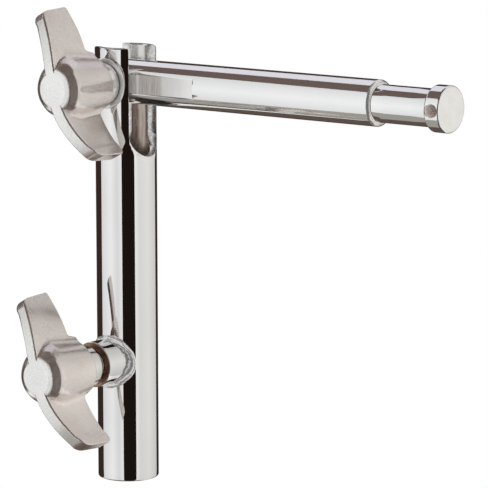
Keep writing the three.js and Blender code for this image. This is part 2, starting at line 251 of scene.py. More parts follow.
def flatMaterial(name, look):
    material, tree, shader = newMaterial(name)
    place = objectPlace(tree)
    along = onAxis(tree, place, 0)
    wave = grain(tree, place, look["waveSize"], look["waveDetail"])
    moved = maths(tree, "ADD", along, maths(tree, "MULTIPLY", wave, look["waveReach"]))
    end, fade = look["forkEndReach"], look["forkEndFade"]
    nearFork = spread(tree, moved, 1, 0, end, end + fade)
    marks = grain(tree, place, look["markSize"], look["markDetail"], look["markStretch"])
    forkTone = tones(tree, spread(tree, marks, 0, 1, *look["forkEndRange"]), look["forkEndDark"],
                 look["forkEndLight"])
    off = maths(tree, "ABSOLUTE", maths(tree, "SUBTRACT", moved, look["streak"]))
    forkTone = tones(tree, spread(tree, off, 1, 0, 0, look["streakHalf"]), forkTone, look["bright"])
    faint = tones(tree, spread(tree, marks, 0, 1, *look["faintRange"]),
                  tuple(look["faint"] * c for c in look["bright"]), look["bright"])
    dress(tree, shader, look["metal"], tones(tree, nearFork, faint, forkTone),
          spread(tree, nearFork, look["brightRough"], look["forkEndRough"], 0, 1),
          bump(tree, marks, look["markBump"], look["markDepth"]))
    return material


# Turned steel: the lock screw, the arm's end and shoulder, and the clamp's collar, washer and bolt
turnedLook = {
    "screw": {
        "dark": (0.74, 0.73, 0.715), "light": (0.84, 0.83, 0.82), "rough": (0.15, 0.22), "metal": 1.0,
        "ringStep": 0.00022, "ringDepth": 0.0000012,
    },
    "end": {
        "dark": (0.89, 0.875, 0.85), "light": (0.96, 0.95, 0.93), "rough": (0.22, 0.30), "metal": 0.85,
        "ringStep": 0.00022, "ringDepth": 0.0000008,
    },
    "clamp": {
        "dark": (0.80, 0.79, 0.775), "light": (0.92, 0.91, 0.90), "rough": (0.17, 0.25), "metal": 0.62,
        "ringStep": 0.0003, "ringDepth": 0.000002,
    },
    "cloudSize": 220, "cloudDetail": 4, "ringBump": 0.35,
}


def turnedMaterial(name, look, key, axis, height):  # rings run about this axis, at this height
    material, tree, shader = newMaterial(name)
    finish = look[key]
    place = objectPlace(tree)
    moved = vectorMaths(tree, "SUBTRACT", place, (0, 0, height * mm))
    flat = vectorMaths(tree, "MULTIPLY", moved, tuple(0 if i == axis else 1 for i in range(3)))
    phase = maths(tree, "MULTIPLY", vectorMaths(tree, "LENGTH", flat), 2 * math.pi / finish["ringStep"])
    cloud = grain(tree, place, look["cloudSize"], look["cloudDetail"])
    tone = tones(tree, spread(tree, cloud, 0, 1), finish["dark"], finish["light"])
    # the colour carries painted shade in corners and joints
    dress(tree, shader, finish["metal"], withPaintedCornerShade(tree, tone), spread(tree, cloud, *finish["rough"]),
          bump(tree, maths(tree, "SINE", phase), look["ringBump"], finish["ringDepth"]))
    return material


# Cast aluminium, and the same metal ground smooth: a sharp sheen over a wide soft one
castLook = {
    "cast": {
        "dark": (0.72, 0.69, 0.67), "light": (0.92, 0.895, 0.875), "rough": (0.19, 0.25),
        "wideColour": (0.93, 0.81, 0.745), "wideRough": 0.62, "wideShare": (0.42, 0.28),
        "grainDepth": 0.000011, "lumpDepth": 0.00002,
    },
    "ground": {
        "dark": (0.80, 0.80, 0.79), "light": (0.92, 0.92, 0.91), "rough": (0.15, 0.20),
        "wideColour": (0.92, 0.91, 0.89), "wideRough": 0.5, "wideShare": (0.2, 0.12),
        "grainDepth": 0.000004, "lumpDepth": 0.000005,
    },
    "grainSize": 1500, "grainDetail": 5, "grainBump": 0.5,
    "lumpSize": 330, "lumpDetail": 3, "lumpBump": 0.35,
    "stainSize": 90, "stainDetail": 6, "mottleRange": (0.75, 1.2),
}


def castMaterial(look, key):
    material, tree, shader = newMaterial(key + "_aluminium")
    finish = look[key]
    place = objectPlace(tree)
    fine = grain(tree, place, look["grainSize"], look["grainDetail"])
    lumps = grain(tree, place, look["lumpSize"], look["lumpDetail"])
    stain = grain(tree, place, look["stainSize"], look["stainDetail"])
    mottle = maths(tree, "ADD", fine, stain)
    tone = tones(tree, spread(tree, mottle, 0, 1, *look["mottleRange"]), finish["dark"], finish["light"])
    coarse = bump(tree, lumps, look["lumpBump"], finish["lumpDepth"])
    skin = bump(tree, fine, look["grainBump"], finish["grainDepth"], coarse)
    # both lobes' colours carry painted shade in corners and joints
    dress(tree, shader, 1, withPaintedCornerShade(tree, tone), spread(tree, stain, *finish["rough"]), skin)
    wide = addNode(tree, "ShaderNodeBsdfPrincipled", {
        "Roughness": finish["wideRough"], "Metallic": 1.0, "Normal": skin,
        "Base Color": withPaintedCornerShade(tree, finish["wideColour"]),
    })
    share = spread(tree, mottle, *finish["wideShare"], *look["mottleRange"])
    mix = addNode(tree, "ShaderNodeMixShader", {0: share, 1: shader.outputs[0], 2: wide.outputs[0]})
    tree.links.new(mix.outputs[0], tree.nodes["Material Output"].inputs["Surface"])
    return material


tubeChrome, armChrome, bossChrome, weldChrome = (
    chromeMaterial(chromeLook, key) for key in ("tube", "arm", "boss", "weld"))
cutSteel, shadedFaceSteel, boreSteel, holeSteel = (
    roughMaterial(roughLook, key) for key in ("cut", "face", "bore", "hole"))
flatSteel = flatMaterial("flat_steel", flatLook)
castMetal, groundMetal = (castMaterial(castLook, key) for key in ("cast", "ground"))
print("materials made")

# Heights above the foot, and the faces where the knobs' collars start, in mm from the tube's axis
seats = {"hinge": 144.5, "screw": 44.0, "tiltFace": 12.0, "lockFace": 22.4}

meshLook = {"merge": 0.002, "sharp": 32, "bevelAngle": 60, "drillSides": 64}


# Mesh helpers
def newObject(name, places, faces, materials=()):
    mesh = bpy.data.meshes.new(name)
    mesh.from_pydata(places, [], faces)
    for material in materials:
        mesh.materials.append(material)
    thing = bpy.data.objects.new(name, mesh)
    scene.collection.objects.link(thing)
    return thing


def inMetres(places):
    return [Vector(place) * mm for place in places]


def smooth(piece, sharp):
    piece.data.shade_smooth()
    piece.data.set_sharp_from_angle(angle=math.radians(sharp))


def takePlace(piece, body, node):
    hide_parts(node)
    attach(piece, body)


def makePiece(name, places, faces, materials, body, node, sharp=meshLook["sharp"], marks=()):
    piece = newObject(name, inMetres(places), faces, materials)
    for polygon, index in zip(piece.data.polygons, marks):
        polygon.material_index = index
    work = bmesh.new()
    work.from_mesh(piece.data)
    bmesh.ops.remove_doubles(work, verts=work.verts, dist=meshLook["merge"] * mm)
    bmesh.ops.dissolve_degenerate(work, edges=work.edges, dist=meshLook["merge"] * mm)
    bmesh.ops.recalc_face_normals(work, faces=work.faces)
    work.to_mesh(piece.data)
    work.free()
    smooth(piece, sharp)
    takePlace(piece, body, node)
    return piece


def bake(piece):  # the modifiers go into the mesh
    graph = bpy.context.evaluated_depsgraph_get()
    mesh = bpy.data.meshes.new_from_object(piece.evaluated_get(graph))
    piece.modifiers.clear()
    old = piece.data
    piece.data = mesh
    bpy.data.meshes.remove(old)


def bevelEdges(piece, width, segments):
    bevel = piece.modifiers.new("bevel", "BEVEL")
    bevel.limit_method = "ANGLE"
    bevel.angle_limit = math.radians(meshLook["bevelAngle"])
    bevel.width = width * mm
    bevel.segments = segments
    bevel.harden_normals = True
    bake(piece)


def keepRound(piece, onRound, normalAt):  # faces beside a cut keep the round's own shading
    mesh = piece.data
    normals = [Vector(corner.vector) for corner in mesh.corner_normals]
    for polygon in mesh.polygons:
        if onRound(polygon.center / mm):
            for loop in polygon.loop_indices:
                vertex = mesh.vertices[mesh.loops[loop].vertex_index]
                normals[loop] = normalAt(vertex.co / mm).normalized()
    mesh.normals_split_custom_set(normals)


def arc(centre, distance, size, angles, height=None):  # an ellipse's arc if a height is given
    high = size if height is None else height
    return [(centre + size * math.cos(math.radians(a)), distance + high * math.sin(math.radians(a)))
            for a in angles]


def ring(radius, distance, sides, centre=(0, 0, 0)):  # about an axis along -Y
    places = []
    for k in range(sides):
        turn = 2 * math.pi * k / sides
        point = (radius * math.cos(turn), -distance, radius * math.sin(turn))
        places.append(tuple(a + b for a, b in zip(point, centre)))
    return places


def rings(profile, sides, centre):  # profile of (radius, distance) pairs
    return [place for radius, distance in profile for place in ring(radius, distance, sides, centre)]


def ringFaces(rows, count, closed=False):  # closed joins the last ring to the first
    total = rows * count
    faces = []
    for row in range(rows if closed else rows - 1):
        for k in range(count):
            a, b = row * count + k, row * count + (k + 1) % count
            faces.append((a, b, (b + count) % total, (a + count) % total))
    return faces


def turnedSolid(profile, sides, centre):  # both ends closed
    faces = ringFaces(len(profile), sides)
    for start in (0, (len(profile) - 1) * sides):
        faces.append(tuple(range(start, start + sides)))
    return rings(profile, sides, centre), faces


def drill(piece, profile, centre, sharp=meshLook["sharp"]):
    places, faces = turnedSolid(profile, meshLook["drillSides"], centre)
    cutter = newObject("drill", inMetres(places), faces)
    cut = piece.modifiers.new("cut", "BOOLEAN")
    cut.operation = "DIFFERENCE"
    cut.solver = "EXACT"
    cut.object = cutter
    bpy.context.view_layer.update()
    bake(piece)
    bpy.data.objects.remove(cutter)
    smooth(piece, sharp)


def faceCentre(places, face):
    return [sum(places[i][axis] for i in face) / len(face) for axis in range(3)]


# Receiver tube
tubeLook = {
    "outer": 11.0, "bore": 8.5, "length": 157.0, "rimRound": 0.7, "boreChamfer": 0.5,
    "slotHalf": 7.6, "slotFloor": 118.0, "slotSteps": 36, "earSteps": 44,
    "edgeBreak": 0.4, "breakSegments": 3,
    "screwHole": 5.2, "drillPast": 3, "roundReach": 12, "roundSlack": 0.06,
    "rows": (0, 0.02, 0.05, 0.1, 0.18, 0.22, 0.26, 0.3, 0.34, 0.38, 0.42, 0.5, 0.6, 0.7, 0.8, 0.88,
             0.94, 0.98, 1),  # shares of a stretch of wall
    "earRows": slice(3, -1),  # those that the short ears take
}


def buildTube(look):
    outer, bore, length, half = look["outer"], look["bore"], look["length"], look["slotHalf"]
    centre = look["slotFloor"] + half
    stations = []  # (region, share) once round, from the slot's -Y edge on the +X side
    for region in ("slotRight", "earBack", "slotLeft", "earFront"):
        count = look["slotSteps"] if region.startswith("slot") else look["earSteps"]
        stations += [(region, i / count) for i in range(count)]

    def place(station, radius, height):
        region, share = station
        edge = math.asin(half / radius)
        if region.startswith("slot"):
            across = half * math.sin(between(-math.pi / 2, math.pi / 2, share))
            angle = math.asin(across / radius)
        else:
            angle = between(edge, math.pi - edge, share)
        if region in ("slotLeft", "earFront"):
            angle += math.pi
        return (radius * math.cos(angle), radius * math.sin(angle), height)

    def middle(station):  # the height of the slot's round floor
        region, share = station
        if not region.startswith("slot"):
            return centre
        return centre - half * math.cos(between(-math.pi / 2, math.pi / 2, share))

    rim, chamfer = look["rimRound"], look["boreChamfer"]
    rows, earRows = look["rows"], look["rows"][look["earRows"]]
    foot = arc(outer - rim, rim, rim, range(-90, 0, 15))
    top = arc(outer - rim, length - rim, rim, range(0, 91, 15))
    places, columns = [], []
    for station in stations:
        mid = middle(station)
        low = [place(station, r, z) for r, z in foot]
        low += [place(station, outer, between(rim, mid, s)) for s in rows]
        high = []
        if station[1] == 0 or not station[0].startswith("slot"):
            high += [place(station, outer, between(mid, length - rim, s)) for s in earRows]
            high += [place(station, r, z) for r, z in top]
            high += [place(station, bore + chamfer, length), place(station, bore, length - chamfer)]
            high += [place(station, bore, between(length - chamfer, mid, s)) for s in earRows]
        inner = [place(station, bore, between(mid, chamfer, s)) for s in rows]
        inner += [place(station, bore + chamfer, 0)]
        columns.append((len(places), len(low), len(high), len(inner)))
        places += low + high + inner

    faces, marks = [], []  # marks: 0 plated, 1 sawn, 2 bore

    def addFace(face, mark):
        faces.append(face)
        marks.append(mark)

    def strip(a, b, count, mark=0):
        for i in range(count - 1):
            addFace((a + i, b + i, b + i + 1, a + i + 1), mark)

    for k, (region, _) in enumerate(stations):
        a, lowCount, highCount, innerCount = columns[k]
        b, nextLow, nextHigh, _ = columns[(k + 1) % len(stations)]
        innerA, innerB = a + lowCount + highCount, b + nextLow + nextHigh
        strip(a, b, lowCount)
        strip(innerA, innerB, innerCount, 2)
        addFace((innerA + innerCount - 1, innerB + innerCount - 1, b, a), 0)
        if region.startswith("slot"):
            addFace((a + lowCount - 1, b + nextLow - 1, innerB, innerA), 1)
        else:
            outside = highCount - len(earRows)
            strip(a + lowCount - 1, b + nextLow - 1, outside)
            strip(a + lowCount + outside - 2, b + nextLow + outside - 2, highCount + 3 - outside, 2)
    for (_, share), (a, lowCount, highCount, _) in zip(stations, columns):
        if share == 0:  # the ears' sawn sides
            addFace(tuple(range(a + lowCount - 1, a + lowCount + highCount + 1)), 1)
    tube = makePiece("tube_shell", places, faces, [tubeChrome, cutSteel, boreSteel], "receiver",
                     "receiver_tube", marks=marks)
    bevelEdges(tube, look["edgeBreak"], look["breakSegments"])
    hole = look["screwHole"]
    drill(tube, [(hole, 0), (hole, outer + look["drillPast"])], (0, 0, seats["screw"]))
    keepRound(
        tube,
        lambda c: abs(c.z - seats["screw"]) < look["roundReach"]
        and abs(math.hypot(c.x, c.y) - outer) < look["roundSlack"],
        lambda p: Vector((p.x, p.y, 0)),
    )


buildTube(tubeLook)
print("tube made")


# Arm
armLook = {
    "radius": 8.0, "flat": 7.2, "flatReach": 36.8, "flatBlend": 0.12, "shoulder": 112.5, "waist": 6.5,
    "waistEnd": 135.0, "end": 141.0, "shoulderEdge": 0.8, "collarEdge": 0.8, "waistFillet": 0.5,
    "tieHole": 2.25, "tieMouth": 1.55, "tieLip": 0.06, "lipStart": 0.35, "lipEnd": 0.6, "drillPast": 1,
    "flatSteps": 28, "roundSteps": 40, "cornerPast": 0.05, "hingeSteps": 24,
    "flatRings": (0, 4, 8, 14, 20, 26, 32), "barRings": 8, "waistRings": 4, "collarRings": 6,
    # past the flats' reach, and how much of the flat is left there
    "runOut": ((-0.5, 1), (-0.12, 1), (-0.05, 0.92), (-0.01, 0.5), (0.02, 0.1), (0.08, 0), (0.6, 0)),
    "barGap": 0.4, "chamferStart": ((-0.1, 0), (0.08, -0.05)),
    "chamferEnd": ((-0.12, 0.08), (-0.03, -0.02), (0, -0.12)), "filletGap": 0.15,
    "endShares": (0.03, 0.3, 0.6, 0.85), "flatSlack": 0.1, "chamferSlack": 0.06, "endSlack": 0.02,
    "markSlack": 0.03, "roundSlack": 0.05, "collarSlack": 0.01, "sharp": 40,
}


def buildArm(look):
    radius, flat, height, blend = look["radius"], look["flat"], seats["hinge"], look["flatBlend"]
    corner = math.acos(flat / radius) + look["cornerPast"]
    angles = []
    for low, high, steps in (
        (-corner, corner, look["flatSteps"]), (corner, math.pi - corner, look["roundSteps"]),
        (math.pi - corner, math.pi + corner, look["flatSteps"]),
        (math.pi + corner, 2 * math.pi - corner, look["roundSteps"]),
    ):
        angles += [between(low, high, i / steps) for i in range(steps)]
    places = []

    def held(value, limit):  # a limit with a softly rounded corner
        size = abs(value)
        if size <= limit - blend:
            return value
        if size >= limit + blend:
            return math.copysign(limit, value)
        past = size - limit + blend
        return math.copysign(size - past * past / (4 * blend), value)

    def addRing(x, size, cut=0.0, roof=None):
        for angle in angles:
            y, z = size * math.cos(angle), size * math.sin(angle)
            y = between(y, held(y, flat), cut)
            if roof is not None:
                z = min(max(z, -roof), roof)
            places.append((x, y, height + z))

    for i in range(look["hingeSteps"]):  # the round end, about the hinge
        turn = math.radians(between(0, 90, i / look["hingeSteps"]))
        addRing(-radius * math.cos(turn), radius, 1, radius * math.sin(turn))
    reach = look["flatReach"]
    for x in look["flatRings"]:
        addRing(x, radius, 1)
    for past, cut in look["runOut"]:
        addRing(reach + past, radius, cut)
    edge, fillet, waist = look["shoulderEdge"], look["waistFillet"], look["waist"]
    shoulder, waistEnd, end, collar = look["shoulder"], look["waistEnd"], look["end"], look["collarEdge"]

    def level(start, stop, size, count):  # rings of one radius
        return [(between(start, stop, i / count), size) for i in range(1, count + 1)]

    profile = level(reach, shoulder - edge - look["barGap"], radius, look["barRings"])
    profile += [(shoulder - edge + a, radius + b) for a, b in look["chamferStart"]]
    profile += [(shoulder + a, radius - edge + b) for a, b in look["chamferEnd"]]
    profile += [(shoulder, waist + fillet + look["filletGap"])]
    profile += arc(shoulder + fillet, waist + fillet, fillet, (180, 202, 225, 248, 270))
    profile += level(shoulder + fillet, waistEnd - fillet, waist, look["waistRings"])
    profile += arc(waistEnd - fillet, waist + fillet, fillet, (-68, -45, -22, 0))
    profile += arc(waistEnd + collar, radius - collar, collar, range(180, 89, -15))
    profile += level(waistEnd + collar, end - collar, radius, look["collarRings"])
    profile += arc(end - collar, radius - collar, collar, range(75, -1, -15))
    profile += [(end, between(radius - collar, 0, s)) for s in look["endShares"]]
    for x, size in profile:
        addRing(x, size)
    count = len(angles)
    faces = ringFaces(len(places) // count, count)
    faces.append(tuple(range(len(places) - count, len(places))))
    marks = []
    for face in faces:
        x, y, _ = faceCentre(places, face)
        onFlat = abs(y) > flat - look["markSlack"] and x < reach - look["flatSlack"]
        onShoulder = shoulder - edge - look["chamferSlack"] < x < shoulder + look["endSlack"]
        marks.append(1 if onFlat else 2 if onShoulder or abs(x - end) < look["endSlack"] else 0)
    endSteel = turnedMaterial("arm_end", turnedLook, "end", 0, height)
    arm = makePiece("arm_bar", places, faces, [armChrome, flatSteel, endSteel, holeSteel], "arm",
                    "pin_arm", look["sharp"], marks)
    hole, lip, mouth = look["tieHole"], look["tieHole"] + look["tieLip"], look["tieHole"] + look["tieMouth"]
    middle = (waistEnd + end) / 2
    far, first, second = radius + look["drillPast"], radius - look["lipStart"], radius - look["lipEnd"]
    drill(arm, [(mouth, -far), (lip, -first), (hole, -second), (hole, second), (lip, first), (mouth, far)],
          (middle, 0, height), look["sharp"])
    for polygon in arm.data.polygons:
        spot = polygon.center / mm
        if math.hypot(spot.x - middle, spot.z - height) < hole + look["markSlack"]:
            polygon.material_index = 3
    reachRound = (end - waistEnd) / 2 - collar + look["collarSlack"]
    keepRound(
        arm,
        lambda c: abs(c.x - middle) < reachRound
        and abs(math.hypot(c.y, c.z - height) - radius) < look["roundSlack"],
        lambda p: Vector((0, p.y, p.z - height)),
    )


buildArm(armLook)
print("arm made")


# Wing knobs: hub and wings are one casting, meshed from its distance field
knobLook = {
    "length": 27.5, "collar": 4.3, "collarRound": 0.5, "rootRadius": 8.2, "taper": 0.082, "sideRound": 0.7,
    "swell": (0.23, 0.11), "swellEnd": 25.0, "swellReach": 6.5,  # along the upper and the lower wing
    "disc": 5.6, "firstSlope": 22, "firstRound": 0.15,
    "secondRadius": 7.5, "secondSlope": 52, "secondRound": 0.3,
    "tiltTurn": -27.7, "tiltLowReach": 27.2, "lockTurn": -30.6, "reach": 28.95, "thick": 2.6, "bow": 2.2,
    "lip": 0.45, "lipReach": 4.0, "lipStep": 2.4,
    "innerRoot": 8.2, "innerTip": 7.0, "innerRound": 0.8,
    "rootReach": 11.6, "rootSlope": 0.36, "rootLean": 0.5, "rootRate": 0.85,
    "outerDrop": 0.06, "outerTip": 20.0, "discReach": 5.5, "leastShare": 0.0001,
    "sweep": 1.4, "slant": 0.4,
    "edgeRound": 0.35, "edgeGrow": 1.2, "ridge": 0.5, "ridgeRound": 0.1,
    "tipFront": 3.0, "tipBack": (1.0, 2.2),
    "fillet": 2.1, "filletEnd": 1.5, "filletFade": 6, "filletLeast": 0.05,
    "socket": 5.75, "socketDepth": 17.75,
    "low": (-12.3, 3.5, -30.1), "high": (12.3, 28.3, 30.1), "cell": 0.28, "groundFacing": 0.88,
}
fieldLook = {"nudge": 0.01, "rounds": 4, "farthest": 0.3, "leastRise": 0.2}


def blendMax(a, b, size):
    over = np.clip(size - np.abs(a - b), 0, None)
    return np.maximum(a, b) + over * over / (4 * size)


def blendMin(a, b, size):
    return -blendMax(-a, -b, size)


def ease(share):
    return share * share * (3 - 2 * share)


def hubField(look, x, s, z):
    radius, length = np.hypot(x, z), look["length"]
    first, second = math.radians(look["firstSlope"]), math.radians(look["secondSlope"])
    drop = (look["secondRadius"] - look["disc"]) * math.tan(first)
    cone = (radius - look["disc"]) * math.sin(first) + (s - length) * math.cos(first)
    chamfer = (radius - look["secondRadius"]) * math.sin(second) + (s - length + drop) * math.cos(second)
    grown = ease(np.clip((look["swellEnd"] - s) / look["swellReach"], 0, 1))
    stretch = 1 + np.where(z > 0, *look["swell"]) * grown
    side = np.hypot(x, z / stretch) - look["rootRadius"] - (s - look["collar"]) * look["taper"]
    hub = blendMax(blendMax(s - length, cone, look["firstRound"]), chamfer, look["secondRound"])
    return blendMax(hub, side, look["sideRound"])


def wingField(look, lowReach, x, s, z):
    away, length, discReach, rootReach = np.abs(z), look["length"], look["discReach"], look["rootReach"]
    end = np.where(z < 0, lowReach, look["reach"])
    share = np.clip((away - discReach) / (end - discReach), look["leastShare"], 1)
    fall = length - look["outerTip"]
    outer = length - look["outerDrop"] - fall * share ** look["sweep"]
    steep = fall * look["sweep"] / (end - discReach) * share ** (look["sweep"] - 1)
    run = np.clip((away - rootReach) / (end - rootReach), 0, 1)
    inner = between(look["innerRoot"], look["innerTip"], run)
    half = (outer - inner) / 2
    across = x - look["bow"] * np.sin(np.pi * z / end)
    lean = (look["thick"] - across * np.sign(z)) * look["rootLean"]
    lower = away - rootReach + lean + (look["innerRoot"] - s) * look["rootSlope"]
    below = blendMin(inner - s, lower * look["rootRate"], look["innerRound"])
    step = ease(np.clip((away - end + look["lipReach"]) / look["lipStep"] + 0.5, 0, 1))
    lip = look["lip"] * (step - (z > 0)) * (across * z < 0)
    tip = away - end + look["slant"] * (s - inner - half) / half
    front, flank = (s - outer) / np.sqrt(1 + steep * steep), np.abs(across) - look["thick"] - lip
    wing = blendMax(front, tip, look["tipFront"])
    wing = blendMax(wing, below, np.where(z > 0, *look["tipBack"]))
    wing = blendMax(wing, flank, look["edgeRound"] + look["edgeGrow"] * run * ((across < 0) & (z > 0)))
    return blendMax(wing, (front + flank + look["ridge"]) * math.sqrt(0.5), look["ridgeRound"])


def knobField(look, lowReach, x, s, z):  # across, along from the collar's face, and along the wings
    fade = np.clip((look["length"] - look["filletEnd"] - s) / look["filletFade"], look["filletLeast"], 1)
    body = blendMin(hubField(look, x, s, z), wingField(look, lowReach, x, s, z), look["fillet"] * fade)
    body = blendMax(body, look["collar"] - s, look["collarRound"])
    return np.maximum(body, -np.maximum(np.hypot(x, z) - look["socket"], s - look["socketDepth"]))


def meshField(field, low, high, cell):
    axes = [np.arange(a, b + cell, cell) for a, b in zip(low, high)]
    values = field(*np.meshgrid(*axes, indexing="ij"))
    shape = [n - 1 for n in values.shape]

    def part(corner):
        return values[tuple(slice(c, c + n) for c, n in zip(corner, shape))]

    total, weight = np.zeros([3] + shape), np.zeros(shape)
    for axis in range(3):  # each cell's point is the mean of where its edges meet the surface
        for a in (0, 1):
            for b in (0, 1):
                start = [a, b]
                start.insert(axis, 0)
                stop = list(start)
                stop[axis] = 1
                one, two = part(start), part(stop)
                cross = (one < 0) != (two < 0)
                share = np.where(cross, one / np.where(cross, one - two, 1), 0)
                for k in range(3):
                    total[k] += cross * (start[k] + (share if k == axis else 0))
                weight += cross
    mixed = weight > 0
    ids = np.full(shape, -1)
    ids[mixed] = np.arange(mixed.sum())
    cells = np.argwhere(mixed)
    places = (cells + (total[:, mixed] / weight[mixed]).T) * cell + np.array(low)
    inside = values < 0
    quads = []
    for axis in range(3):  # a quad round each edge that meets the surface
        u, v = (axis + 1) % 3, (axis + 2) % 3
        ahead = np.take(inside, range(1, inside.shape[axis]), axis)
        behind = np.take(inside, range(inside.shape[axis] - 1), axis)
        for flip, edges in ((True, behind & ~ahead), (False, ahead & ~behind)):
            where = np.argwhere(edges)
            corners = []
            for du, dv in ((0, 0), (1, 0), (1, 1), (0, 1)):
                spot = where.copy()
                spot[:, u] -= du
                spot[:, v] -= dv
                corners.append(ids[tuple(spot.T)])
            quads += np.stack(corners[::-1] if flip else corners, 1).tolist()

    def slope(points):
        parts = []
        for axis in range(3):
            nudge = np.zeros(3)
            nudge[axis] = fieldLook["nudge"]
            rise = field(*(points + nudge).T) - field(*(points - nudge).T)
            parts.append(rise / (2 * fieldLook["nudge"]))
        return np.stack(parts, 1)

    farthest = fieldLook["farthest"] * cell
    for _ in range(fieldLook["rounds"]):  # the points slide down onto the surface
        rise = slope(places)
        steep = np.maximum((rise * rise).sum(1), fieldLook["leastRise"])
        move = field(*places.T)[:, None] * rise / steep[:, None]
        places = places - np.clip(move, -farthest, farthest)
    rise = slope(places)
    return places, quads, rise / np.linalg.norm(rise, axis=1)[:, None]


def buildKnob(look, name, body, node, turn, face, height, lowReach):
    places, quads, normals = meshField(
        lambda x, s, z: knobField(look, lowReach, x, s, z), look["low"], look["high"], look["cell"])
    places[:, 1] = np.minimum(places[:, 1], look["length"])
    ground = (normals[:, 1] > look["groundFacing"]) & (places[:, 1] > look["length"] / 2)
    cos, sin = math.cos(math.radians(turn)), math.sin(math.radians(turn))
    seat = np.array([[cos, 0, sin], [0, -1, 0], [-sin, 0, cos]])
    places = (places @ seat.T + np.array([0, -face, height])) * mm
    knob = newObject(name, places.tolist(), quads, [castMetal, groundMetal])
    for polygon, corners in zip(knob.data.polygons, quads):
        polygon.material_index = int(ground[corners].all())
    knob.data.shade_smooth()
    knob.data.normals_split_custom_set_from_vertices((normals @ seat.T).tolist())
    takePlace(knob, body, node)


buildKnob(knobLook, "tilt_wing_knob", "tilt_wing", "tilt_knob", knobLook["tiltTurn"],
          seats["tiltFace"], seats["hinge"], knobLook["tiltLowReach"])
buildKnob(knobLook, "lock_wing_knob", "lock_wing", "lock_knob", knobLook["lockTurn"],
          seats["lockFace"], seats["screw"], knobLook["reach"])
print("knobs made")


# Steel collars in the knobs, the washer and the lock screw
steelLook = {
    "collar": 7.4, "collarEnd": 4.25, "collarBreak": 0.15, "edge": 0.4, "shank": 5.5, "shankEnd": 17.5,
    "boltBore": 4.3, "boltBoreEnd": 13.5, "boreTip": 0.01, "sides": 96,
    "stud": 5.0, "studTip": 8.75, "studRoot": 4.0, "point": 1.2, "studSides": 72, "studSharp": 40,
    "pitch": 1.5, "pitchRows": 14, "threadDepth": 0.82, "threadCrest": 1.35,
    "washer": 9.0, "washerNear": 11.1, "washerThick": 0.8, "nearRound": 0.25, "farRound": 0.4,
    "washerHole": 4.3, "holeBreak": 0.15,
}
clampSteel = turnedMaterial("turned_steel", turnedLook, "clamp", 1, seats["hinge"])
screwSteel = turnedMaterial("turned_screw", turnedLook, "screw", 1, seats["screw"])


def collarProfile(look):
    edge, collar, collarEnd = look["edge"], look["collar"], look["collarEnd"]
    return arc(collar - edge, edge, edge, range(-90, 1, 18)) + [
        (collar, collarEnd - look["collarBreak"]), (collar - look["collarBreak"], collarEnd),
        (look["shank"], collarEnd), (look["shank"], look["shankEnd"]),
    ]


def buildInsert(look, face, height):
    bore, bottom, edge = look["boltBore"], look["boltBoreEnd"], look["edge"]
    profile = [(look["boreTip"], bottom), (bore, bottom), (bore, edge), (bore + edge, 0)]
    places, faces = turnedSolid(profile + collarProfile(look), look["sides"], (0, -face, height))
    makePiece("tilt_collar", places, faces, [clampSteel], "tilt_nut", "tilt_insert")


def buildScrew(look, face, height):
    sides, length = look["studSides"], face - look["studTip"]
    steps = int(length / look["pitch"] * look["pitchRows"])
    places = []
    for row in range(steps + 1):
        distance = -length + length * row / steps
        for k in range(sides):
            turn = 2 * math.pi * k / sides
            phase = (distance / look["pitch"] - k / sides) % 1
            ridge = min(1, look["threadCrest"] * (1 - abs(2 * phase - 1)))
            radius = look["stud"] - look["threadDepth"] * (1 - ridge)
            radius = min(radius, look["stud"] - look["point"] + distance + length)
            places.append((radius * math.cos(turn), -distance - face, height + radius * math.sin(turn)))
    faces = ringFaces(steps + 1, sides)
    faces.append(tuple(range(sides)))
    start = len(places)
    profile = [(look["studRoot"], 0)] + collarProfile(look)
    collarPlaces, collarFaces = turnedSolid(profile, sides, (0, -face, height))
    places += collarPlaces
    faces += [tuple(i + start for i in corners) for corners in collarFaces]
    makePiece("lock_stud", places, faces, [screwSteel], "lock_stud", "lock_screw",
              look["studSharp"])


def buildWasher(look, height):
    near, outer, hole, edge = look["washerNear"], look["washer"], look["washerHole"], look["holeBreak"]
    far, first, second = near + look["washerThick"], look["nearRound"], look["farRound"]
    profile = [(hole, near)] + arc(outer - first, near + first, first, np.linspace(-90, 0, 5))
    profile += arc(outer - second, far - second, second, range(0, 91, 15))
    profile += [(hole + edge, far), (hole, far - edge)]
    places = rings(profile, look["sides"], (0, 0, height))
    faces = ringFaces(len(profile), look["sides"], closed=True)
    makePiece("tilt_flat_washer", places, faces, [clampSteel], "receiver", "tilt_washer")


buildInsert(steelLook, seats["tiltFace"], seats["hinge"])
buildScrew(steelLook, seats["lockFace"], seats["screw"])
buildWasher(steelLook, seats["hinge"])

# Bolt: low round head on the far ear, square neck, shank
boltLook = {
    "head": 6.5, "headHigh": 3.6, "headTop": 0.6, "rim": 1.2, "rimBreak": 0.3, "seat": 11.25,
    "shank": 4.0, "end": 24.5, "endBreak": 1, "tip": 3.1, "neckEnd": 8.5, "neckSunk": 0.3, "sides": 72,
}


